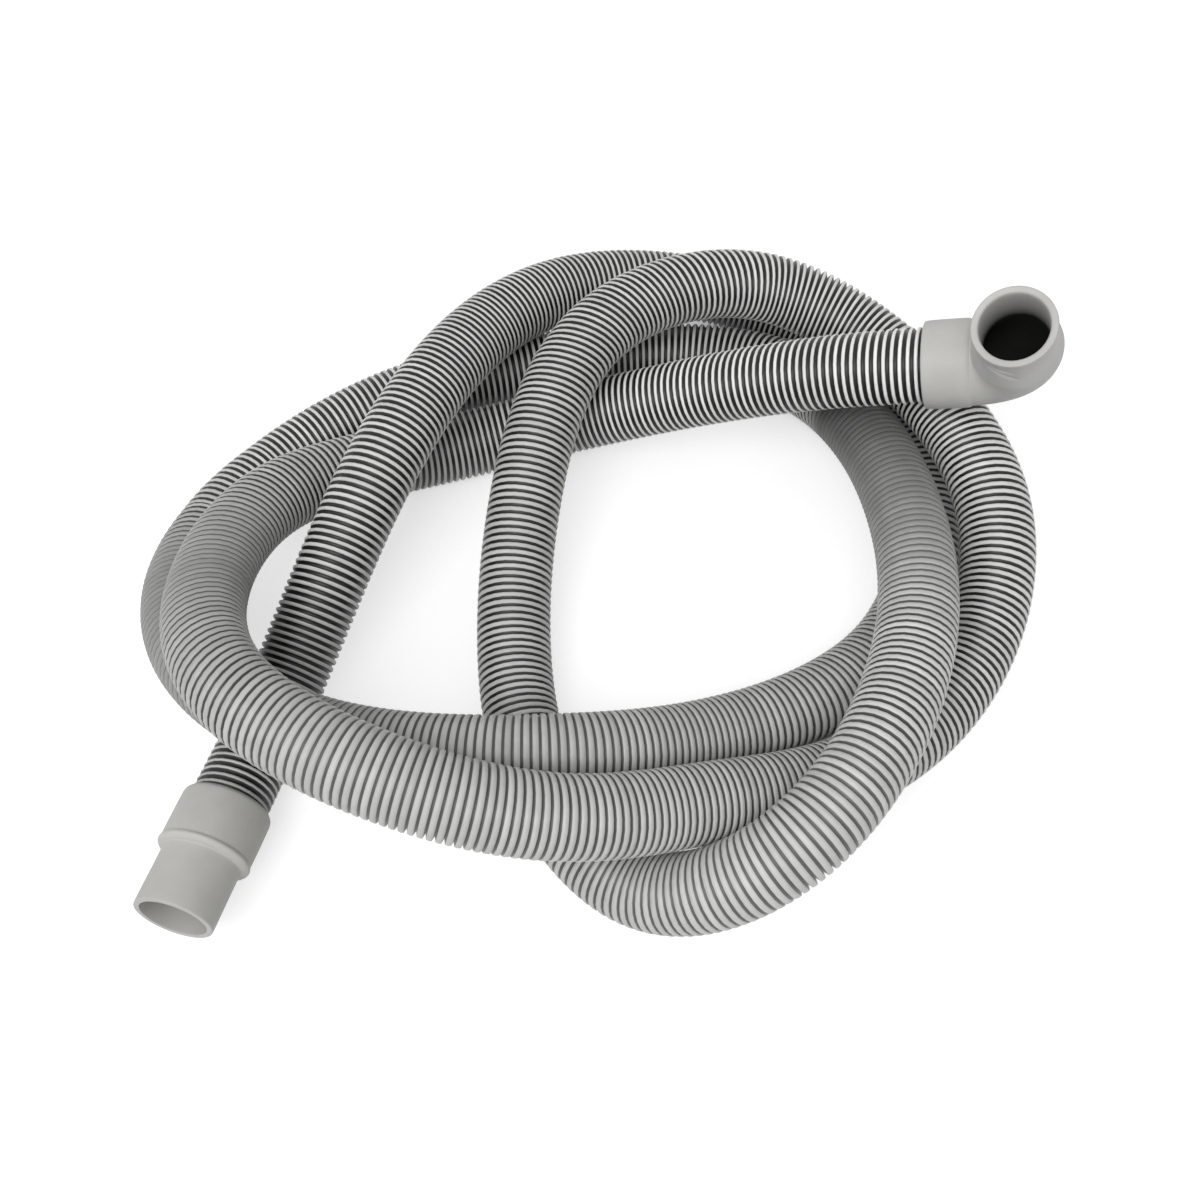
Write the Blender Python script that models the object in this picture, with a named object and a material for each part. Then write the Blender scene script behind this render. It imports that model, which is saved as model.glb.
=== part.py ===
"""Washing machine drain hose, lying in loose crossing loops on the plane z = 0.

Three pieces: a corrugated hose, a moulded elbow cuff on its upper end and a
moulded straight cuff on its lower end. The corrugations are 2.45 mm apart and
1.8 mm deep, a thread too fine for a solid, so the hose is a round tube over
their crests. Metres, +Z up; the origin is under the middle of the whole box.
"""

import math

import bmesh
import bpy
import numpy as np
from mathutils import Matrix, Vector

# Hose
HOSE_OD = 0.0245
HOSE_POINTS = 78
HOSE_BEVEL_RESOLUTION = 4

# What both cuffs share: a sleeve over the hose end, and the gap round it
SOCKET_DEPTH = 0.0120
SOCKET_CLEARANCE = 0.0003
CUFF_SIDES = 48
EDGE_STEPS = 4

# Straight cuff
STRAIGHT_SLEEVE_OD = 0.0283
STRAIGHT_SLEEVE_LENGTH = 0.0187
STRAIGHT_CHAMFER = 0.0010
STRAIGHT_SHOULDER = 0.0012
STRAIGHT_OUTLET_OD = 0.0242
STRAIGHT_OUTLET_LENGTH = 0.0195
STRAIGHT_BORE = 0.0205
STRAIGHT_LIP = 0.0003

# Elbow cuff
ELBOW_SLEEVE_OD = 0.0283
ELBOW_SLEEVE_LENGTH = 0.0146
ELBOW_CHAMFER = 0.0005
ELBOW_SHOULDER = 0.0008
ELBOW_BODY_OD = 0.0271
ELBOW_THROAT_ROUND = 0.0004
ELBOW_BEND_RADIUS = ELBOW_BODY_OD / 2 + ELBOW_THROAT_ROUND
ELBOW_BEND_STEPS = 12
ELBOW_NECK_OD = 0.0238
ELBOW_NECK_LENGTH = 0.0150
ELBOW_RIM_OD = 0.0246
ELBOW_RIM_LENGTH = 0.0030
ELBOW_RIM_ROUND = 0.0008
ELBOW_BORE = 0.0198
ELBOW_ROLL = math.radians(23.0)

# Colours as linear values, from the photograph
CUFF_GREY = (0.42, 0.42, 0.40, 1.0)
HOSE_GREY = (0.30, 0.30, 0.29, 1.0)

# The hose's middle line from the elbow cuff's face to the straight cuff's face
ROUTE = [
    (0.1082, 0.0408, 0.0659), (0.0894, 0.0447, 0.0590), (-0.0026, 0.0562, 0.0180), (-0.0626, 0.0402, 0.0160),
    (-0.1046, 0.0102, 0.0340), (-0.1156, -0.0318, 0.0510), (-0.1006, -0.0708, 0.0660), (-0.0546, -0.0978, 0.0630),
    (-0.0066, -0.1048, 0.0510), (0.0394, -0.0926, 0.0286), (0.0854, -0.0766, 0.0135), (0.1254, -0.0393, 0.0170),
    (0.1344, 0.0042, 0.0330), (0.1110, 0.0588, 0.0392), (0.0594, 0.0994, 0.0390), (0.0034, 0.0742, 0.0440),
    (-0.0206, 0.0182, 0.0330), (-0.0246, -0.0398, 0.0150), (-0.0126, -0.0858, 0.0130), (0.0164, -0.1158, 0.0170),
    (0.0559, -0.1116, 0.0415), (0.0926, -0.0638, 0.0505), (0.1024, 0.0002, 0.0410), (0.0694, 0.0785, 0.0162),
    (-0.0086, 0.0860, 0.0125), (-0.0966, 0.0502, 0.0138), (-0.1359, 0.0002, 0.0140), (-0.1194, -0.0523, 0.0335),
    (-0.0806, -0.0768, 0.0405), (-0.0106, -0.0818, 0.0385), (0.0414, -0.0668, 0.0170), (0.0984, -0.0348, 0.0130),
    (0.1164, 0.0362, 0.0130), (0.0664, 0.1117, 0.0135), (0.0004, 0.1117, 0.0260), (-0.0396, 0.0722, 0.0430),
    (-0.0736, 0.0042, 0.0420), (-0.1016, -0.0568, 0.0128), (-0.1074, -0.0752, 0.0128), (-0.1111, -0.0896, 0.0152),
]


def clear_scene():
    for item in list(bpy.data.objects):
        bpy.data.objects.remove(item)


def material(name, colour, roughness):
    shade = bpy.data.materials.new(name)
    shade.use_nodes = True
    shader = shade.node_tree.nodes["Principled BSDF"]
    shader.inputs["Base Color"].default_value = colour
    shader.inputs["Roughness"].default_value = roughness
    shader.inputs["Metallic"].default_value = 0.0
    return shade


def smooth_route(points, steps_per_span=24):
    """Dense points on the natural cubic spline through the route, its knots at the chord lengths."""
    knots = np.array(points)
    chords = np.diff(knots, axis=0)
    spans = np.linalg.norm(chords, axis=1)
    slopes = chords / spans[:, None]
    system = np.eye(len(knots))
    jumps = np.zeros_like(knots)
    for i in range(1, len(knots) - 1):
        system[i, i - 1] = spans[i - 1]
        system[i, i] = 2.0 * (spans[i - 1] + spans[i])
        system[i, i + 1] = spans[i]
        jumps[i] = 6.0 * (slopes[i] - slopes[i - 1])
    bends = np.linalg.solve(system, jumps)
    dense = []
    for i, span in enumerate(spans):
        for share in np.linspace(0.0, 1.0, steps_per_span, endpoint=False):
            rest = 1.0 - share
            sag = (rest ** 3 - rest) * bends[i] + (share ** 3 - share) * bends[i + 1]
            dense.append(rest * knots[i] + share * knots[i + 1] + sag * span ** 2 / 6.0)
    dense.append(knots[-1])
    return np.array(dense)


def even_points(dense, count):
    """The given number of points, evenly spaced along a dense line."""
    steps = np.linalg.norm(np.diff(dense, axis=0), axis=1)
    along = np.concatenate([[0.0], np.cumsum(steps)])
    wanted = np.linspace(0.0, along[-1], count)
    return np.stack([np.interp(wanted, along, dense[:, axis]) for axis in range(3)], axis=1)


def hose_line():
    """The hose's middle line, resting on the plane where the spline would dip below it."""
    line = even_points(smooth_route(ROUTE), HOSE_POINTS)
    line[:, 2] = np.maximum(line[:, 2], HOSE_OD / 2)
    return line


def end_direction(face, inner):
    """The way the hose points as it enters a cuff."""
    return (Vector(face) - Vector(inner)).normalized()


def make_hose(line, elbow_way, straight_way):
    """The round tube over the corrugations' crests, its ends straight inside the sockets."""
    first = Vector(line[0]) + SOCKET_DEPTH * elbow_way
    last = Vector(line[-1]) + SOCKET_DEPTH * straight_way
    points = [first, *(Vector(point) for point in line), last]
    curve = bpy.data.curves.new("corrugated_hose", "CURVE")
    curve.dimensions = "3D"
    curve.bevel_depth = HOSE_OD / 2
    curve.bevel_resolution = HOSE_BEVEL_RESOLUTION
    curve.use_fill_caps = True
    spline = curve.splines.new("POLY")
    spline.points.add(len(points) - 1)
    for knot, point in zip(spline.points, points):
        knot.co = (*point, 1.0)
    hose = bpy.data.objects.new("corrugated_hose", curve)
    bpy.context.collection.objects.link(hose)
    curve.materials.append(material("hose_plastic", HOSE_GREY, 0.55))
    return hose


def rounded_corner(end, radius, size):
    """A rounded outer corner, turning from along the wall to across its end."""
    corner = []
    for step in range(EDGE_STEPS + 1):
        angle = 0.5 * math.pi * step / EDGE_STEPS
        back = size * (1.0 - math.sin(angle))
        inward = size * (1.0 - math.cos(angle))
        corner.append((end - back, radius - inward))
    return corner


def straight_profile():
    """The straight cuff's wall as (distance from its hose face, radius), outside first, then inside."""
    sleeve = STRAIGHT_SLEEVE_OD / 2
    outlet = STRAIGHT_OUTLET_OD / 2
    bore = STRAIGHT_BORE / 2
    socket = HOSE_OD / 2 + SOCKET_CLEARANCE
    total = STRAIGHT_SLEEVE_LENGTH + STRAIGHT_OUTLET_LENGTH
    outside = [(0.0, sleeve - STRAIGHT_CHAMFER), (STRAIGHT_CHAMFER, sleeve)]
    outside += rounded_corner(STRAIGHT_SLEEVE_LENGTH, sleeve, STRAIGHT_SHOULDER)
    outside += [(STRAIGHT_SLEEVE_LENGTH, outlet), (total - STRAIGHT_LIP, outlet), (total, outlet - STRAIGHT_LIP)]
    inside = [(total, bore + STRAIGHT_LIP), (total - STRAIGHT_LIP, bore)]
    inside += [(SOCKET_DEPTH + SOCKET_CLEARANCE, bore), (SOCKET_DEPTH + SOCKET_CLEARANCE, socket), (0.0, socket)]
    return outside + inside


def elbow_profile():
    """The elbow cuff's wall as (distance along its middle line, radius), outside first, then inside."""
    sleeve = ELBOW_SLEEVE_OD / 2
    body = ELBOW_BODY_OD / 2
    neck = ELBOW_NECK_OD / 2
    rim = ELBOW_RIM_OD / 2
    bore = ELBOW_BORE / 2
    socket = HOSE_OD / 2 + SOCKET_CLEARANCE
    bend = ELBOW_BEND_RADIUS * 0.5 * math.pi
    bend_end = ELBOW_SLEEVE_LENGTH + bend
    neck_end = bend_end + ELBOW_NECK_LENGTH
    total = neck_end + ELBOW_RIM_LENGTH
    outside = [(0.0, sleeve - ELBOW_CHAMFER), (ELBOW_CHAMFER, sleeve)]
    outside += rounded_corner(ELBOW_SLEEVE_LENGTH, sleeve, ELBOW_SHOULDER)
    for step in range(ELBOW_BEND_STEPS + 1):
        share = step / ELBOW_BEND_STEPS
        taper = body + (neck - body) * share ** 2
        outside.append((ELBOW_SLEEVE_LENGTH + share * bend, taper))
    outside += [(neck_end - ELBOW_RIM_ROUND, neck), (neck_end, rim)]
    outside += rounded_corner(total, rim, ELBOW_RIM_ROUND)
    inside = [(total, bore + ELBOW_RIM_ROUND), (total - ELBOW_RIM_ROUND, bore)]
    for step in range(ELBOW_BEND_STEPS + 1):
        share = 1.0 - step / ELBOW_BEND_STEPS
        inside.append((ELBOW_SLEEVE_LENGTH + share * bend, bore))
    inside += [(SOCKET_DEPTH + SOCKET_CLEARANCE, bore), (SOCKET_DEPTH + SOCKET_CLEARANCE, socket), (0.0, socket)]
    return outside + inside


def straight_place(distance):
    """The middle and the first cross direction of a section of the straight cuff."""
    return Vector((0.0, 0.0, distance)), Vector((1.0, 0.0, 0.0))


def elbow_place(distance):
    """The same for the elbow cuff: straight up +Z, round the bend, then out along +X."""
    turned = (distance - ELBOW_SLEEVE_LENGTH) / ELBOW_BEND_RADIUS
    angle = min(max(turned, 0.0), 0.5 * math.pi)
    before = min(distance, ELBOW_SLEEVE_LENGTH)
    after = max(distance - ELBOW_SLEEVE_LENGTH - ELBOW_BEND_RADIUS * 0.5 * math.pi, 0.0)
    middle = Vector((
        ELBOW_BEND_RADIUS * (1.0 - math.cos(angle)) + after,
        0.0,
        before + ELBOW_BEND_RADIUS * math.sin(angle),
    ))
    return middle, Vector((math.cos(angle), 0.0, -math.sin(angle)))


def make_cuff(name, profile, place):
    """A hollow moulding: the closed wall profile carried round its middle line as rings."""
    mesh = bpy.data.meshes.new(name)
    shape = bmesh.new()
    across = Vector((0.0, 1.0, 0.0))
    rings = []
    for distance, radius in profile:
        middle, side = place(distance)
        ring = []
        for step in range(CUFF_SIDES):
            angle = 2.0 * math.pi * step / CUFF_SIDES
            ring.append(shape.verts.new(middle + radius * (math.cos(angle) * side + math.sin(angle) * across)))
        rings.append(ring)
    for ring, following in zip(rings, rings[1:] + rings[:1]):
        for step in range(CUFF_SIDES):
            beyond = (step + 1) % CUFF_SIDES
            shape.faces.new((ring[step], ring[beyond], following[beyond], following[step]))
    bmesh.ops.recalc_face_normals(shape, faces=shape.faces)
    shape.to_mesh(mesh)
    shape.free()
    mesh.shade_smooth()
    mesh.set_sharp_from_angle(angle=math.radians(35.0))
    mesh.materials.append(material(name + "_plastic", CUFF_GREY, 0.5))
    cuff = bpy.data.objects.new(name, mesh)
    bpy.context.collection.objects.link(cuff)
    return cuff


def cuff_placement(face, way, roll):
    """Local +Z along the hose's way out, local +X upwards and then rolled about it."""
    up = Vector((0.0, 0.0, 1.0))
    level = (up - up.dot(way) * way).normalized()
    side = way.cross(level)
    outlet = math.cos(roll) * level + math.sin(roll) * side
    turn = Matrix((outlet, way.cross(outlet), way)).transposed()
    return Matrix.Translation(face) @ turn.to_4x4()


def main():
    clear_scene()
    line = hose_line()
    dense = smooth_route(ROUTE)
    elbow_way = end_direction(dense[0], dense[1])
    straight_way = end_direction(dense[-1], dense[-2])
    make_hose(line, elbow_way, straight_way)
    elbow = make_cuff("elbow_cuff", elbow_profile(), elbow_place)
    elbow.matrix_world = cuff_placement(Vector(line[0]), elbow_way, ELBOW_ROLL)
    straight = make_cuff("straight_cuff", straight_profile(), straight_place)
    straight.matrix_world = cuff_placement(Vector(line[-1]), straight_way, 0.0)


main()
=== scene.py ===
import math

import bpy
import numpy as np
from mathutils import Matrix, Vector


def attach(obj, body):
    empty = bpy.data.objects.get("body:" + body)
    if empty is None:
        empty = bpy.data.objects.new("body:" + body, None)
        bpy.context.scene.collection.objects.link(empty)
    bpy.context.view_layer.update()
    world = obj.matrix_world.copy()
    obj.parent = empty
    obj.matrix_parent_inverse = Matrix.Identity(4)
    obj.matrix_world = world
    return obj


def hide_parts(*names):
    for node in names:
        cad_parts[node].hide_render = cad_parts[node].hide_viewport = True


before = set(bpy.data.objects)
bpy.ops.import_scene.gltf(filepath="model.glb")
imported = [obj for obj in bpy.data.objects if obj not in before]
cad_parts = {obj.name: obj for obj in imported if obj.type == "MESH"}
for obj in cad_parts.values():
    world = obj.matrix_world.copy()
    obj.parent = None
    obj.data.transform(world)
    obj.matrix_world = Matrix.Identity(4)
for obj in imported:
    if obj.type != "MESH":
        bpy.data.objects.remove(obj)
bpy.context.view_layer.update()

# The hose: one blow-moulded tube of grey polypropylene, corrugated from end to end and hollow.
# It lies in loose crossing loops on the floor, and each end sits 12 mm deep in a cuff's sleeve.
HOSE_OD = 0.0245
HOSE_BORE = 0.0196
SOCKET_DEPTH = 0.0120
RING_PITCH = 0.00245
CREST_CROWN = 0.00012
HOSE_SIDES = 24
RING_UNEVENNESS = 0.05
RING_SEED = 7
BORE_STEP = 0.015
# Painted shade: the inside of the tube is coloured a dark grey.
BORE_PAINTED_SHADE = 0.20
WAY_REACH = 0.0006
HOSE_ROUTE = [
    (0.1082, 0.0408, 0.0659), (0.0894, 0.0447, 0.0590), (-0.0026, 0.0562, 0.0180),
    (-0.0626, 0.0402, 0.0160), (-0.1046, 0.0102, 0.0340), (-0.1156, -0.0318, 0.0510),
    (-0.1006, -0.0708, 0.0660), (-0.0546, -0.0978, 0.0630), (-0.0066, -0.1048, 0.0510),
    (0.0394, -0.0926, 0.0286), (0.0854, -0.0766, 0.0135), (0.1254, -0.0393, 0.0170),
    (0.1344, 0.0042, 0.0330), (0.1110, 0.0588, 0.0392), (0.0594, 0.0994, 0.0390),
    (0.0034, 0.0742, 0.0440), (-0.0206, 0.0182, 0.0330), (-0.0246, -0.0398, 0.0150),
    (-0.0126, -0.0858, 0.0130), (0.0164, -0.1158, 0.0170), (0.0559, -0.1116, 0.0415),
    (0.0926, -0.0638, 0.0505), (0.1024, 0.0002, 0.0410), (0.0694, 0.0785, 0.0162),
    (-0.0086, 0.0860, 0.0125), (-0.0966, 0.0502, 0.0138), (-0.1359, 0.0002, 0.0140),
    (-0.1194, -0.0523, 0.0335), (-0.0806, -0.0768, 0.0405), (-0.0106, -0.0818, 0.0385),
    (0.0414, -0.0668, 0.0170), (0.0984, -0.0348, 0.0130), (0.1164, 0.0362, 0.0130),
    (0.0664, 0.1117, 0.0135), (0.0004, 0.1117, 0.0260), (-0.0396, 0.0722, 0.0430),
    (-0.0736, 0.0042, 0.0420), (-0.1016, -0.0568, 0.0128), (-0.1074, -0.0752, 0.0128),
    (-0.1111, -0.0896, 0.0152),
]


def hose_spline(points, steps_per_span=60):
    """Dense points on the natural cubic spline through the route, its knots at the chord lengths."""
    knots = np.array(points)
    chords = np.diff(knots, axis=0)
    spans = np.linalg.norm(chords, axis=1)
    slopes = chords / spans[:, None]
    system = np.eye(len(knots))
    jumps = np.zeros_like(knots)
    for i in range(1, len(knots) - 1):
        system[i, i - 1] = spans[i - 1]
        system[i, i] = 2.0 * (spans[i - 1] + spans[i])
        system[i, i + 1] = spans[i]
        jumps[i] = 6.0 * (slopes[i] - slopes[i - 1])
    bends = np.linalg.solve(system, jumps)
    dense = []
    for i, span in enumerate(spans):
        for share in np.linspace(0.0, 1.0, steps_per_span, endpoint=False):
            rest = 1.0 - share
            sag = (rest ** 3 - rest) * bends[i] + (share ** 3 - share) * bends[i + 1]
            dense.append(rest * knots[i] + share * knots[i + 1] + sag * span ** 2 / 6.0)
    dense.append(knots[-1])
    return np.array(dense)


def unit(vector):
    return vector / np.linalg.norm(vector)


# Where the spline would dip a little below the floor, the hose lies on it
hose_middle = hose_spline(HOSE_ROUTE)
hose_middle[:, 2] = np.maximum(hose_middle[:, 2], HOSE_OD / 2)
elbow_way = unit(hose_middle[0] - hose_middle[1])
straight_way = unit(hose_middle[-1] - hose_middle[-2])
elbow_face = hose_middle[0]
straight_face = hose_middle[-1]
hose_middle = np.vstack([
    elbow_face + SOCKET_DEPTH * elbow_way,
    hose_middle,
    straight_face + SOCKET_DEPTH * straight_way,
])
hose_along = np.concatenate([[0.0], np.cumsum(np.linalg.norm(np.diff(hose_middle, axis=0), axis=1))])
HOSE_LENGTH = hose_along[-1]


def hose_points(distances):
    """Points of the hose's middle line at these distances from its elbow end."""
    return np.stack([np.interp(distances, hose_along, hose_middle[:, axis]) for axis in range(3)], axis=1)


def hose_sections(distances):
    """The middle line at these distances, and two cross directions that don't twist along it."""
    middles = hose_points(distances)
    ways = hose_points(distances + WAY_REACH) - hose_points(distances - WAY_REACH)
    ways /= np.linalg.norm(ways, axis=1)[:, None]
    across = np.zeros_like(ways)
    side = unit(np.cross(ways[0], (0.0, 0.0, 1.0)))
    for i, way in enumerate(ways):
        side = unit(side - np.dot(side, way) * way)
        across[i] = side
    return middles, across, np.cross(ways, across)


# How the corrugations stand and look along the hose: (share of its length, crest's share of the pitch,
# groove's depth in millimetres, crest's tone, groove's tone). The crest's tone carries painted light and
# shade: raised on the lit runs, lowered where a strand lies in shade. The groove's tone is painted shade,
# near black. The long upper runs are pulled open and show this painted black between pale crests, and
# where the tight bends press the rings together they close up.
RING_LOOKS = [
    (0.000, 0.32, 1.4, 0.88, 0.006), (0.030, 0.32, 1.3, 0.84, 0.006), (0.070, 0.34, 1.3, 0.70, 0.006),
    (0.095, 0.46, 1.2, 0.48, 0.012), (0.108, 0.50, 1.1, 0.45, 0.020), (0.117, 0.64, 0.7, 0.33, 0.090),
    (0.128, 0.76, 0.5, 0.28, 0.130), (0.137, 0.64, 0.9, 0.36, 0.060), (0.150, 0.58, 1.2, 0.44, 0.040),
    (0.160, 0.62, 1.4, 0.46, 0.110), (0.180, 0.60, 1.7, 0.50, 0.110), (0.196, 0.58, 1.3, 0.50, 0.080),
    (0.232, 0.56, 1.3, 0.50, 0.040), (0.250, 0.44, 1.4, 0.58, 0.010), (0.285, 0.46, 1.3, 0.66, 0.010),
    (0.300, 0.36, 1.8, 0.74, 0.006), (0.330, 0.34, 1.8, 0.70, 0.006), (0.355, 0.36, 1.3, 0.58, 0.006),
    (0.380, 0.46, 1.2, 0.54, 0.010), (0.418, 0.48, 1.2, 0.52, 0.014), (0.448, 0.58, 1.4, 0.50, 0.100),
    (0.465, 0.58, 1.8, 0.54, 0.140), (0.478, 0.58, 1.6, 0.54, 0.140), (0.488, 0.52, 1.3, 0.56, 0.040),
    (0.500, 0.54, 1.1, 0.56, 0.040), (0.510, 0.66, 0.8, 0.40, 0.120), (0.520, 0.76, 0.5, 0.26, 0.150),
    (0.532, 0.84, 0.3, 0.17, 0.120), (0.546, 0.88, 0.3, 0.09, 0.070), (0.552, 0.34, 1.3, 0.68, 0.006),
    (0.640, 0.34, 1.3, 0.64, 0.006), (0.650, 0.38, 1.3, 0.56, 0.008), (0.660, 0.50, 1.0, 0.40, 0.030),
    (0.670, 0.80, 0.4, 0.25, 0.150), (0.696, 0.80, 0.5, 0.25, 0.160), (0.720, 0.60, 1.0, 0.40, 0.060),
    (0.740, 0.60, 1.2, 0.47, 0.100), (0.785, 0.55, 1.3, 0.44, 0.060), (0.860, 0.34, 1.3, 0.62, 0.006),
    (0.925, 0.36, 1.3, 0.58, 0.006), (0.950, 0.38, 1.2, 0.60, 0.006), (0.970, 0.34, 1.3, 0.52, 0.006),
    (1.000, 0.28, 1.4, 0.42, 0.006),
]

# How far the rings stand off square, in degrees: (share of the length, lean of their tops towards the
# lower end, slant of their left sides the same way). A hose that is wound and let go keeps such a skew.
RING_SKEWS = [
    (0.000, 0, 0), (0.040, 2, -3), (0.090, 0, 0), (0.130, 6, 12), (0.145, 4, 12),
    (0.158, -6, 0), (0.180, 2, 3), (0.205, -9, -4), (0.235, 4, 0), (0.260, 16, -5),
    (0.272, 16, -7), (0.286, 8, -13), (0.300, 0, 0), (0.316, -6, 12), (0.330, -9, 15),
    (0.345, 5, 10), (0.362, 6, 15), (0.376, -5, 2), (0.400, -12, 0), (0.425, -5, 0),
    (0.455, 0, 0), (0.475, 9, 2), (0.488, 12, -3), (0.510, 0, 0), (0.610, 0, 0),
    (0.645, -12, 5), (0.660, -16, 7), (0.700, 0, 0), (0.740, -10, -5), (0.762, 0, 0),
    (0.780, 10, 7), (0.800, 0, 0), (0.890, 0, 0), (0.912, 13, -5), (0.932, 0, 0),
    (0.958, -17, 9), (0.980, -4, 0), (1.000, 0, 0),
]


def corrugation_rings():
    """Rings of the outer surface: (distance, radius, share in the groove, crest's tone with painted light
    and shade, groove's painted shade).
    """
    count = round(HOSE_LENGTH / RING_PITCH)
    pitch = HOSE_LENGTH / count
    crest = HOSE_OD / 2
    shares, widths, depths, crest_tones_and_painted_light, groove_painted_shades = zip(*RING_LOOKS)
    unevenness = np.random.default_rng(RING_SEED).normal(1.0, RING_UNEVENNESS, count)
    rings = []
    for number in range(count):
        start = number * pitch
        share = (number + 0.5) / count
        width = np.interp(share, shares, widths) * pitch
        floor_radius = crest - 0.001 * np.interp(share, shares, depths)
        # The crest's tone: painted light and shade along the hose, times a random unevenness from ring to
        # ring.
        crest_tone_and_painted_light = np.interp(share, shares, crest_tones_and_painted_light) * unevenness[number]
        tones = (crest_tone_and_painted_light, np.interp(share, shares, groove_painted_shades))
        centre = start + pitch / 2
        rings.append((start, floor_radius, 1.0, *tones))
        rings.append((centre - width / 2, crest - CREST_CROWN, 0.0, *tones))
        rings.append((centre, crest, 0.0, *tones))
        rings.append((centre + width / 2, crest - CREST_CROWN, 0.0, *tones))
    rings.append((HOSE_LENGTH, floor_radius, 1.0, *tones))
    return rings


outer_rings = corrugation_rings()
bore_distances = np.linspace(HOSE_LENGTH, 0.0, round(HOSE_LENGTH / BORE_STEP) + 1)
# The inside of the tube carries the dark painted shade.
bore_rings = [(distance, HOSE_BORE / 2, 0.0, BORE_PAINTED_SHADE, BORE_PAINTED_SHADE) for distance in bore_distances]
hose_rings = np.array(outer_rings + bore_rings)
middles, across, upright = hose_sections(hose_rings[:, 0])


def square_spokes():
    """The unit vectors from each ring's middle to its points, square to the hose."""
    turns = np.linspace(0.0, 2.0 * math.pi, HOSE_SIDES, endpoint=False)[None, :, None]
    return np.cos(turns) * across[:, None, :] + np.sin(turns) * upright[:, None, :]


def skewed_spokes(spokes, distances, ways):
    """The spokes with each ring turned off square: its points slide along the hose, forwards or back."""
    skew_shares, leans, slants = zip(*RING_SKEWS)
    shares = distances / HOSE_LENGTH
    lean = np.tan(np.radians(np.interp(shares, skew_shares, leans)))
    slant = np.tan(np.radians(np.interp(shares, skew_shares, slants)))
    skyward = np.array([0.0, 0.0, 1.0]) - ways[:, 2, None] * ways
    skyward /= np.linalg.norm(skyward, axis=1)[:, None]
    leftward = np.cross(ways, skyward)
    skews = lean[:, None] * skyward + slant[:, None] * leftward
    slides = np.einsum("rsk,rk->rs", spokes, skews)
    return spokes + slides[:, :, None] * ways[:, None, :]


ring_spokes = skewed_spokes(square_spokes(), hose_rings[:, 0], np.cross(across, upright))
hose_vertices = (middles[:, None, :] + hose_rings[:, 1, None, None] * ring_spokes).reshape(-1, 3)
hose_faces = []
for ring in range(len(hose_rings)):
    following = (ring + 1) % len(hose_rings)
    for side in range(HOSE_SIDES):
        beyond = (side + 1) % HOSE_SIDES
        hose_faces.append((
            ring * HOSE_SIDES + side,
            ring * HOSE_SIDES + beyond,
            following * HOSE_SIDES + beyond,
            following * HOSE_SIDES + side,
        ))
hose_mesh = bpy.data.meshes.new("hose_corrugations")
hose_mesh.from_pydata(hose_vertices.tolist(), [], hose_faces)
# Per point: the groove mask, the crest's tone with painted light and shade, and the groove's painted
# shade.
for column, name in ((2, "groove"), (3, "crest_tone_and_painted_light"), (4, "groove_painted_shade")):
    layer = hose_mesh.attributes.new(name, "FLOAT", "POINT")
    layer.data.foreach_set("value", np.repeat(hose_rings[:, column], HOSE_SIDES))
hose_mesh.shade_smooth()
hose = bpy.data.objects.new("hose_corrugations", hose_mesh)
bpy.context.collection.objects.link(hose)


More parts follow.
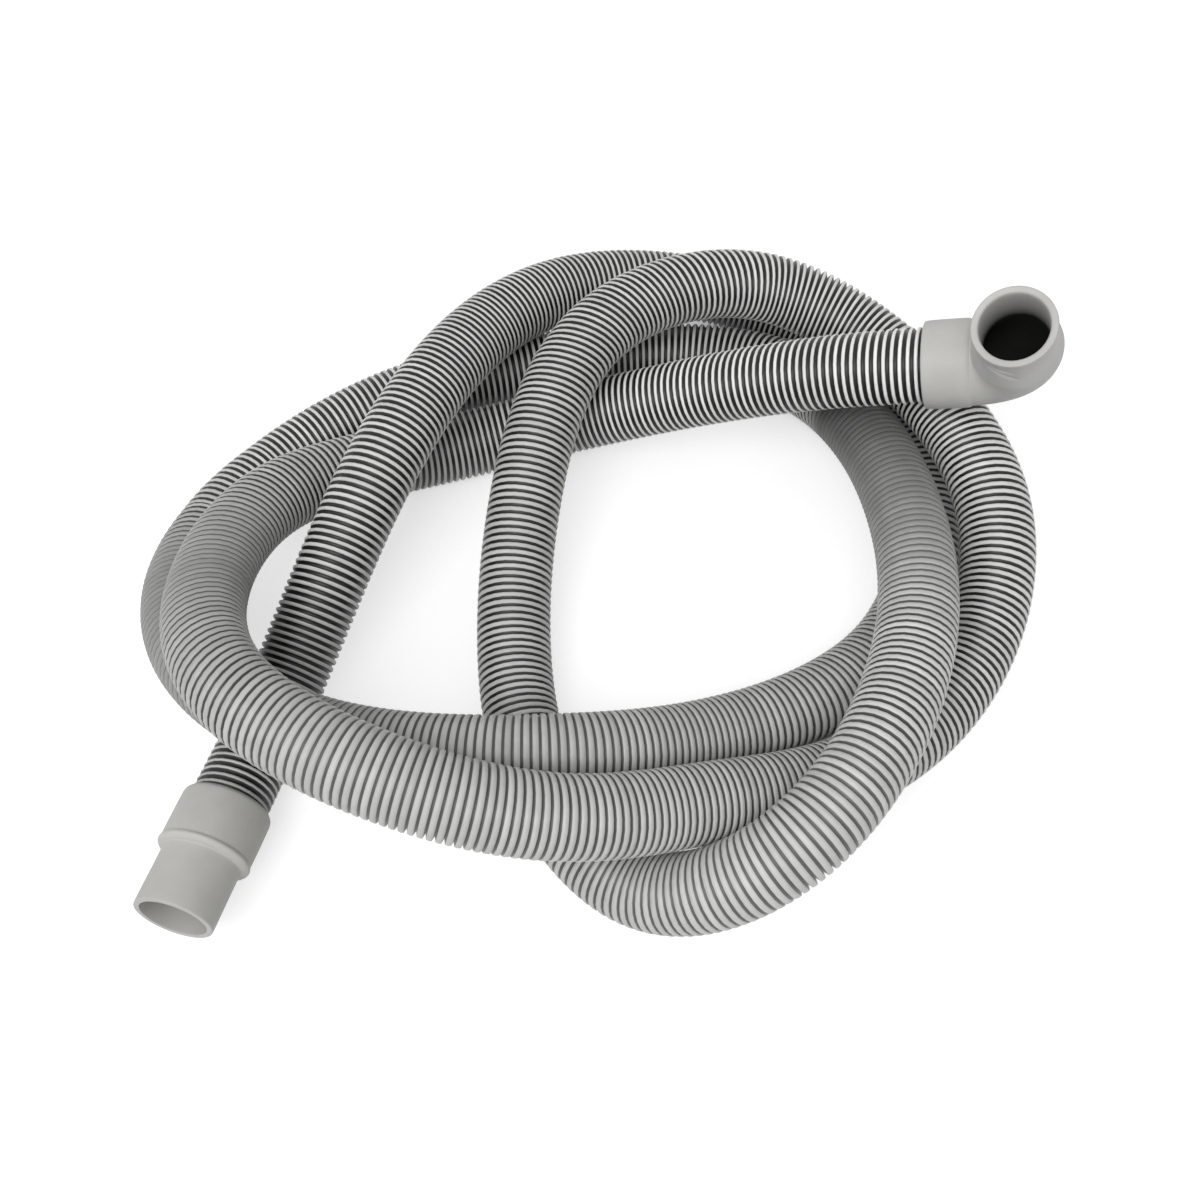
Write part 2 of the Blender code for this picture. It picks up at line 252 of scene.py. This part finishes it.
def hose_finish():
    """Satin grey polypropylene, faintly clouded and scuffed: crests with painted light and shade in their
    tone, over grooves painted near black as shade.
    """
    finish = bpy.data.materials.new("corrugated_polypropylene")
    finish.use_nodes = True
    tree = finish.node_tree
    add, link = tree.nodes.new, tree.links.new
    shader = tree.nodes["Principled BSDF"]
    shader.inputs["Roughness"].default_value = 0.42
    shader.inputs["Specular IOR Level"].default_value = 0.4
    place = add("ShaderNodeTexCoord")
    layers = {}
    for name in ("groove", "crest_tone_and_painted_light", "groove_painted_shade"):
        layers[name] = add("ShaderNodeAttribute")
        layers[name].attribute_name = name
    # Painted shade: towards the groove's floor the crest's tone gives way to the groove's near-black tone.
    depth = add("ShaderNodeMapRange")
    depth.interpolation_type = "SMOOTHSTEP"
    depth.inputs["From Min"].default_value = 0.03
    depth.inputs["From Max"].default_value = 0.26
    link(layers["groove"].outputs["Fac"], depth.inputs["Value"])
    tone = add("ShaderNodeMix")
    link(depth.outputs["Result"], tone.inputs["Factor"])
    link(layers["crest_tone_and_painted_light"].outputs["Fac"], tone.inputs["A"])
    link(layers["groove_painted_shade"].outputs["Fac"], tone.inputs["B"])
    scuff = add("ShaderNodeTexNoise")
    scuff.inputs["Scale"].default_value = 260.0
    scuff.inputs["Detail"].default_value = 3.0
    link(place.outputs["Object"], scuff.inputs["Vector"])
    cloud = add("ShaderNodeTexNoise")
    cloud.inputs["Scale"].default_value = 18.0
    link(place.outputs["Object"], cloud.inputs["Vector"])
    cloud_share = add("ShaderNodeMath")
    cloud_share.operation = "MULTIPLY_ADD"
    cloud_share.inputs[1].default_value = 0.20
    cloud_share.inputs[2].default_value = 0.77
    link(cloud.outputs["Fac"], cloud_share.inputs[0])
    scuff_share = add("ShaderNodeMath")
    scuff_share.operation = "MULTIPLY_ADD"
    scuff_share.inputs[1].default_value = 0.26
    link(scuff.outputs["Fac"], scuff_share.inputs[0])
    link(cloud_share.outputs[0], scuff_share.inputs[2])
    # The tone, with its painted light and shade, is clouded and scuffed.
    painted_light_and_wear = add("ShaderNodeMath")
    painted_light_and_wear.operation = "MULTIPLY"
    link(tone.outputs["Result"], painted_light_and_wear.inputs[0])
    link(scuff_share.outputs[0], painted_light_and_wear.inputs[1])
    tint = add("ShaderNodeMix")
    tint.data_type = "RGBA"
    tint.blend_type = "MULTIPLY"
    tint.inputs["Factor"].default_value = 1.0
    tint.inputs["B"].default_value = (1.0, 1.0, 0.98, 1.0)
    link(painted_light_and_wear.outputs[0], tint.inputs["A"])
    link(tint.outputs["Result"], shader.inputs["Base Color"])
    bump = add("ShaderNodeBump")
    bump.inputs["Strength"].default_value = 0.15
    bump.inputs["Distance"].default_value = 0.0002
    link(scuff.outputs["Fac"], bump.inputs["Height"])
    link(bump.outputs["Normal"], shader.inputs["Normal"])
    return finish


hose_mesh.materials.append(hose_finish())
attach(hose, "root")
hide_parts("corrugated_hose")

# The straight cuff: one soft grey moulding pushed over the lower hose end. Its sleeve has a chamfered
# edge, a raised bead and a rounded shoulder, and its narrower outlet pushes onto the drain spigot.
CUFF_SIDES = 48
SLEEVE_OD = 0.0283
STRAIGHT_SLEEVE = 0.0187
STRAIGHT_OUTLET = 0.0195
STRAIGHT_OUTLET_OD = 0.0242
STRAIGHT_BORE = 0.0205
SOCKET_RADIUS = HOSE_OD / 2 + 0.0003
SOCKET_EDGE_RADIUS = SOCKET_RADIUS + 0.0004
STRAIGHT_DARK = (0.430, 0.425, 0.405, 1.0)
STRAIGHT_PALE = (0.500, 0.495, 0.475, 1.0)


def start_wall(name, radius):
    """A ring of edges round the origin, in edit mode and all selected: the cuff's hose face."""
    bpy.ops.object.select_all(action="DESELECT")
    bpy.ops.mesh.primitive_circle_add(vertices=CUFF_SIDES, radius=radius, location=(0.0, 0.0, 0.0))
    cuff = bpy.context.object
    cuff.name = name
    bpy.ops.object.mode_set(mode="EDIT")
    bpy.ops.mesh.select_all(action="SELECT")
    return cuff


def carry_wall(centre, way, radius, steps):
    """Extrudes the selected ring step by step, each step (distance from the centre, new radius)."""
    reached = 0.0
    for distance, wanted in steps:
        bpy.ops.mesh.extrude_region_move(TRANSFORM_OT_translate={"value": way * (distance - reached)})
        middle = centre + way * distance
        bpy.ops.transform.resize(value=(wanted / radius,) * 3, center_override=middle)
        reached = distance
        radius = wanted


def over_hose_end(face, way, roll):
    """The place of a cuff: its own +Z goes on the hose's way out, and +X points up, rolled about it."""
    way = Vector(way)
    level = (Vector((0.0, 0.0, 1.0)) - way.z * way).normalized()
    outlet = math.cos(roll) * level + math.sin(roll) * way.cross(level)
    turn = Matrix((outlet, way.cross(outlet), way)).transposed()
    return Matrix.Translation(Vector(face)) @ turn.to_4x4()


def close_wall(cuff, place):
    """Joins the last ring to the first, smooths the moulding and sets it over the hose end."""
    bpy.ops.mesh.select_all(action="DESELECT")
    bpy.ops.mesh.select_non_manifold()
    bpy.ops.mesh.bridge_edge_loops()
    bpy.ops.mesh.select_all(action="SELECT")
    bpy.ops.mesh.normals_make_consistent(inside=False)
    bpy.ops.object.mode_set(mode="OBJECT")
    smooth = cuff.modifiers.new("moulded_edges", "SUBSURF")
    smooth.levels = 2
    smooth.render_levels = 2
    bpy.ops.object.modifier_apply(modifier=smooth.name)
    bpy.ops.object.shade_smooth()
    cuff.matrix_world = place
    bpy.ops.object.transform_apply(location=True, rotation=True, scale=True)


straight_end = STRAIGHT_SLEEVE + STRAIGHT_OUTLET
sleeve_radius = SLEEVE_OD / 2
outlet_radius = STRAIGHT_OUTLET_OD / 2
straight_bore_radius = STRAIGHT_BORE / 2
straight_cuff = start_wall("straight_cuff_moulding", SOCKET_EDGE_RADIUS)
carry_wall(Vector((0.0, 0.0, 0.0)), Vector((0.0, 0.0, 1.0)), SOCKET_EDGE_RADIUS, [
    (0.0000, sleeve_radius - 0.0012),
    (0.0003, sleeve_radius - 0.0007),
    (0.0011, sleeve_radius - 0.0001),
    (0.0018, sleeve_radius),
    (STRAIGHT_SLEEVE - 0.0030, sleeve_radius),
    (STRAIGHT_SLEEVE - 0.0022, sleeve_radius - 0.0002),
    (STRAIGHT_SLEEVE - 0.0016, sleeve_radius + 0.0003),
    (STRAIGHT_SLEEVE - 0.0009, sleeve_radius + 0.0003),
    (STRAIGHT_SLEEVE - 0.0003, sleeve_radius - 0.0002),
    (STRAIGHT_SLEEVE + 0.0002, sleeve_radius - 0.0010),
    (STRAIGHT_SLEEVE + 0.0003, outlet_radius + 0.0006),
    (STRAIGHT_SLEEVE + 0.0004, outlet_radius + 0.0002),
    (STRAIGHT_SLEEVE + 0.0010, outlet_radius),
    (straight_end - 0.0060, outlet_radius),
    (straight_end - 0.0004, outlet_radius),
    (straight_end - 0.0001, outlet_radius - 0.0001),
    (straight_end, outlet_radius - 0.0004),
    (straight_end, straight_bore_radius + 0.0002),
    (straight_end - 0.0001, straight_bore_radius),
    (straight_end - 0.0006, straight_bore_radius),
    (SOCKET_DEPTH + 0.0020, straight_bore_radius),
    (SOCKET_DEPTH + 0.0008, straight_bore_radius),
    (SOCKET_DEPTH + 0.0005, straight_bore_radius + 0.0004),
    (SOCKET_DEPTH + 0.0004, SOCKET_RADIUS - 0.0002),
    (SOCKET_DEPTH + 0.0001, SOCKET_RADIUS),
    (0.0010, SOCKET_RADIUS),
])
close_wall(straight_cuff, over_hose_end(straight_face, straight_way, 0.0))


def cuff_finish(name, dark, pale):
    """Matt soft grey moulding: faint clouding, a fine skin, a duller bloom where it was handled, and
    painted shade deep in the bore.
    """
    finish = bpy.data.materials.new(name)
    finish.use_nodes = True
    tree = finish.node_tree
    add, link = tree.nodes.new, tree.links.new
    shader = tree.nodes["Principled BSDF"]
    shader.inputs["Specular IOR Level"].default_value = 0.35
    place = add("ShaderNodeTexCoord")
    cloud = add("ShaderNodeTexNoise")
    cloud.inputs["Scale"].default_value = 55.0
    cloud.inputs["Detail"].default_value = 4.0
    link(place.outputs["Object"], cloud.inputs["Vector"])
    tint = add("ShaderNodeValToRGB")
    tint.color_ramp.elements[0].position = 0.30
    tint.color_ramp.elements[0].color = dark
    tint.color_ramp.elements[1].position = 0.72
    tint.color_ramp.elements[1].color = pale
    link(cloud.outputs["Fac"], tint.inputs["Fac"])
    # Painted shade: the bore darkens to near black where the bore_shade mark is set.
    bore = add("ShaderNodeAttribute")
    bore.attribute_name = "bore_shade"
    bore_painted_shade_mix = add("ShaderNodeMix")
    bore_painted_shade_mix.data_type = "RGBA"
    link(bore.outputs["Fac"], bore_painted_shade_mix.inputs["Factor"])
    link(tint.outputs["Color"], bore_painted_shade_mix.inputs["A"])
    bore_painted_shade_mix.inputs["B"].default_value = (0.020, 0.020, 0.018, 1.0)
    link(bore_painted_shade_mix.outputs["Result"], shader.inputs["Base Color"])
    skin = add("ShaderNodeTexNoise")
    skin.inputs["Scale"].default_value = 900.0
    skin.inputs["Detail"].default_value = 2.0
    link(place.outputs["Object"], skin.inputs["Vector"])
    dull = add("ShaderNodeMapRange")
    dull.inputs["To Min"].default_value = 0.46
    dull.inputs["To Max"].default_value = 0.62
    link(skin.outputs["Fac"], dull.inputs["Value"])
    link(dull.outputs["Result"], shader.inputs["Roughness"])
    bump = add("ShaderNodeBump")
    bump.inputs["Strength"].default_value = 0.12
    bump.inputs["Distance"].default_value = 0.0002
    link(skin.outputs["Fac"], bump.inputs["Height"])
    link(bump.outputs["Normal"], shader.inputs["Normal"])
    return finish


straight_cuff.data.materials.append(cuff_finish("straight_cuff_skin", STRAIGHT_DARK, STRAIGHT_PALE))
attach(straight_cuff, "root")
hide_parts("straight_cuff")

# The elbow cuff: one soft grey moulding pushed over the upper hose end. After its sleeve it turns a
# right angle, and its short leg, with two shallow folds from the mould, ends in a rounded rim that
# the pump's or trap's spigot goes into.
ELBOW_SLEEVE = 0.0146
ELBOW_BODY_OD = 0.0271
ELBOW_BEND_RADIUS = ELBOW_BODY_OD / 2 + 0.0004
ELBOW_NECK_OD = 0.0238
ELBOW_NECK = 0.0150
ELBOW_RIM = 0.0030
ELBOW_RIM_OD = 0.0246
ELBOW_BORE = 0.0198
ELBOW_ROLL = math.radians(23.0)
BEND_STEPS = 12
BEND_LEAD = 0.0001
BEND_EDGE = 0.0010
# The two folds below the rim: (way up the leg, angle round it, half the span, climb a degree, depth, half
# the width), in millimetres and degrees
LEG_FOLDS = [(11.5, 20.0, 24.0, 0.03, 0.60, 0.6), (8.6, 20.0, 26.0, 0.10, 0.75, 0.8)]
ELBOW_DARK = (0.470, 0.465, 0.448, 1.0)
ELBOW_PALE = (0.545, 0.540, 0.522, 1.0)


def bend_wall(angle, centre):
    """Spins the selected ring round the elbow's bend, about the line across it through the centre."""
    bpy.ops.mesh.spin(steps=BEND_STEPS, angle=angle, center=centre, axis=(0.0, -1.0, 0.0))


body_radius = ELBOW_BODY_OD / 2
rim_radius = ELBOW_RIM_OD / 2
neck_radius = ELBOW_NECK_OD / 2
elbow_bore_radius = ELBOW_BORE / 2
mid_wall_radius = (elbow_bore_radius + neck_radius) / 2
leg_length = ELBOW_NECK + ELBOW_RIM
bend_centre = Vector((ELBOW_BEND_RADIUS, 0.0, ELBOW_SLEEVE + BEND_LEAD))
bend_start = Vector((0.0, 0.0, bend_centre.z))
leg_start = Vector((ELBOW_BEND_RADIUS, 0.0, bend_centre.z + ELBOW_BEND_RADIUS))
elbow_cuff = start_wall("elbow_cuff_moulding", SOCKET_EDGE_RADIUS)
carry_wall(Vector((0.0, 0.0, 0.0)), Vector((0.0, 0.0, 1.0)), SOCKET_EDGE_RADIUS, [
    (0.0000, sleeve_radius - 0.0008),
    (0.0002, sleeve_radius - 0.0003),
    (0.0008, sleeve_radius),
    (ELBOW_SLEEVE - 0.0020, sleeve_radius),
    (ELBOW_SLEEVE - 0.0008, sleeve_radius - 0.0001),
    (ELBOW_SLEEVE - 0.0002, sleeve_radius - 0.0004),
    (bend_centre.z, body_radius),
])
bend_wall(math.pi / 2, bend_centre)
carry_wall(leg_start, Vector((1.0, 0.0, 0.0)), body_radius, [
    (0.0020, body_radius - 0.0004),
    (0.0045, body_radius - 0.0008),
    (0.0070, neck_radius + 0.0004),
    (0.0086, neck_radius + 0.0003),
    (0.0102, neck_radius + 0.0002),
    (0.0118, neck_radius + 0.0001),
    (ELBOW_NECK - 0.0016, neck_radius),
    (ELBOW_NECK - 0.0004, neck_radius + 0.0001),
    (ELBOW_NECK + 0.0006, rim_radius - 0.0001),
    (ELBOW_NECK + 0.0014, rim_radius),
    (leg_length - 0.0008, rim_radius),
    (leg_length - 0.0002, rim_radius - 0.0001),
    (leg_length, rim_radius - 0.0004),
    (leg_length - 0.0001, elbow_bore_radius + 0.0008),
    (leg_length - 0.0004, elbow_bore_radius + 0.0003),
    (leg_length - 0.0014, elbow_bore_radius),
    (leg_length - 0.0060, elbow_bore_radius),
    (0.0020, elbow_bore_radius),
    (0.0000, elbow_bore_radius),
])
bend_wall(-math.pi / 2, bend_centre)
carry_wall(bend_start, Vector((0.0, 0.0, -1.0)), elbow_bore_radius, [
    (bend_centre.z - SOCKET_DEPTH - 0.0008, elbow_bore_radius),
    (bend_centre.z - SOCKET_DEPTH - 0.0004, SOCKET_RADIUS - 0.0003),
    (bend_centre.z - SOCKET_DEPTH, SOCKET_RADIUS),
    (bend_centre.z - 0.0010, SOCKET_RADIUS),
])
elbow_place = over_hose_end(elbow_face, elbow_way, ELBOW_ROLL)
close_wall(elbow_cuff, elbow_place)


def press_folds(cuff, place):
    """Presses the two folds into the outside of the leg, as shallow grooves that fade out at both ends."""
    local = place.inverted()
    for point in cuff.data.vertices:
        spot = local @ point.co
        spoke = Vector((0.0, spot.y, spot.z - leg_start.z))
        if spot.x < leg_start.x or spoke.length < mid_wall_radius:
            continue
        turned = math.degrees(math.atan2(-spoke.z, spoke.y))
        for height, middle, span, climb, depth, width in LEG_FOLDS:
            aside = 1000.0 * (spot.x - leg_start.x) - height - climb * (turned - middle)
            fade = max(1.0 - ((turned - middle) / span) ** 2, 0.0)
            spot -= 0.001 * depth * fade * math.exp(-(aside / width) ** 2) * spoke.normalized()
        point.co = place @ spot


def shade_bore(cuff, place):
    """Marks the painted shade on each point of the bore: darker deeper down the leg, and black past the
    bend, where no light reaches.
    """
    local = place.inverted()
    shade = cuff.data.attributes.new("bore_shade", "FLOAT", "POINT")
    for point, mark in zip(cuff.data.vertices, shade.data):
        spot = local @ point.co
        from_centre = math.hypot(bend_centre.x - spot.x, spot.z - bend_centre.z)
        in_leg = spot.x > leg_start.x
        aside = spot.z - leg_start.z if in_leg else from_centre - ELBOW_BEND_RADIUS
        in_bend = spot.z > bend_centre.z - BEND_EDGE
        if in_bend and math.hypot(aside, spot.y) < mid_wall_radius:
            depth = max(1.0 - (spot.x - leg_start.x) / leg_length, 0.0)
            mark.value = depth ** 4 if in_leg else 1.0


press_folds(elbow_cuff, elbow_place)
shade_bore(elbow_cuff, elbow_place)
elbow_cuff.data.materials.append(cuff_finish("elbow_cuff_skin", ELBOW_DARK, ELBOW_PALE))
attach(elbow_cuff, "root")
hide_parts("elbow_cuff")

# The floor, plain and pale, wide enough to fill the view.
FLOOR_SIZE = 6.0
FLOOR_GLOW = 0.64
bpy.ops.object.select_all(action="DESELECT")
bpy.ops.mesh.primitive_plane_add(size=FLOOR_SIZE, location=(0.0, 0.0, 0.0))
floor = bpy.context.object
floor.name = "floor"


def seen_rays(tree):
    """A value of 1 for rays that see or mirror what is behind the hose, and 0 for those that light it."""
    ray = tree.nodes.new("ShaderNodeLightPath")
    seen = ray.outputs["Is Camera Ray"]
    for other in ("Is Glossy Ray", "Is Transmission Ray"):
        either = tree.nodes.new("ShaderNodeMath")
        either.operation = "MAXIMUM"
        tree.links.new(seen, either.inputs[0])
        tree.links.new(ray.outputs[other], either.inputs[1])
        seen = either.outputs[0]
    return seen


def floor_finish():
    """Matt white paint, seen as white but for the hose's shadow and the crevices under its strands."""
    finish = bpy.data.materials.new("floor_paint")
    finish.use_nodes = True
    tree = finish.node_tree
    add, link = tree.nodes.new, tree.links.new
    shader = tree.nodes["Principled BSDF"]
    shader.inputs["Base Color"].default_value = (0.55, 0.55, 0.55, 1.0)
    shader.inputs["Roughness"].default_value = 0.9
    shader.inputs["Specular IOR Level"].default_value = 0.1
    shader.inputs["Emission Color"].default_value = (1.0, 1.0, 1.0, 1.0)
    lift = add("ShaderNodeMath")
    lift.operation = "MULTIPLY"
    lift.inputs[1].default_value = FLOOR_GLOW
    crevice = add("ShaderNodeAmbientOcclusion")
    crevice.samples = 16
    crevice.inputs["Distance"].default_value = 0.03
    open_sky = add("ShaderNodeMapRange")
    open_sky.inputs["From Min"].default_value = 0.05
    open_sky.inputs["From Max"].default_value = 0.22
    link(crevice.outputs["AO"], open_sky.inputs["Value"])
    seen_open = add("ShaderNodeMath")
    seen_open.operation = "MULTIPLY"
    link(seen_rays(tree), seen_open.inputs[0])
    link(open_sky.outputs["Result"], seen_open.inputs[1])
    link(seen_open.outputs[0], lift.inputs[0])
    link(lift.outputs[0], shader.inputs["Emission Strength"])
    return finish


floor.data.materials.append(floor_finish())

# Soft studio light: a pale room all round and two large lamps, one high in front and one from the left.
ROOM_LEVEL = 0.62


def room_light():
    """A pale room that lights the hose evenly and is itself seen as white."""
    world = bpy.data.worlds.new("pale_room")
    world.use_nodes = True
    bpy.context.scene.world = world
    tree = world.node_tree
    sky = tree.nodes["Background"]
    sky.inputs["Color"].default_value = (1.0, 1.0, 1.0, 1.0)
    level = tree.nodes.new("ShaderNodeMapRange")
    level.inputs["To Min"].default_value = ROOM_LEVEL
    level.inputs["To Max"].default_value = 1.0
    tree.links.new(seen_rays(tree), level.inputs["Value"])
    tree.links.new(level.outputs["Result"], sky.inputs["Strength"])


def soft_lamp(name, place, size, power):
    """A square lamp of this size and power, turned to the middle of the hose."""
    lamp = bpy.data.lights.new(name, "AREA")
    lamp.shape = "SQUARE"
    lamp.size = size
    lamp.energy = power
    holder = bpy.data.objects.new(name, lamp)
    bpy.context.collection.objects.link(holder)
    holder.location = place
    holder.rotation_euler = (-Vector(place)).to_track_quat("-Z", "Y").to_euler()


room_light()
soft_lamp("lamp_front", (-0.3, -0.6, 1.0), 0.7, 6.8)
soft_lamp("lamp_left", (-0.8, -0.3, 0.7), 0.5, 0.7)

# The camera looks down at 62 degrees from the front, 42 cm away.
CAMERA_DISTANCE = 0.421
CAMERA_ELEVATION = math.radians(62.0)
CAMERA_AIM = Vector((0.0034, -0.0098, 0.0))
view_camera = bpy.data.cameras.new("view_camera")
view_camera.sensor_width = 36.0
view_camera.lens = 36.0
view_camera.clip_start = 0.01
camera = bpy.data.objects.new("view_camera", view_camera)
bpy.context.collection.objects.link(camera)
camera_way = Vector((0.0, -math.cos(CAMERA_ELEVATION), math.sin(CAMERA_ELEVATION)))
camera.location = CAMERA_AIM + CAMERA_DISTANCE * camera_way
camera.rotation_euler = (math.pi / 2 - CAMERA_ELEVATION, 0.0, 0.0)
bpy.context.scene.camera = camera
bpy.context.scene.view_settings.view_transform = "Standard"

bpy.context.view_layer.update()
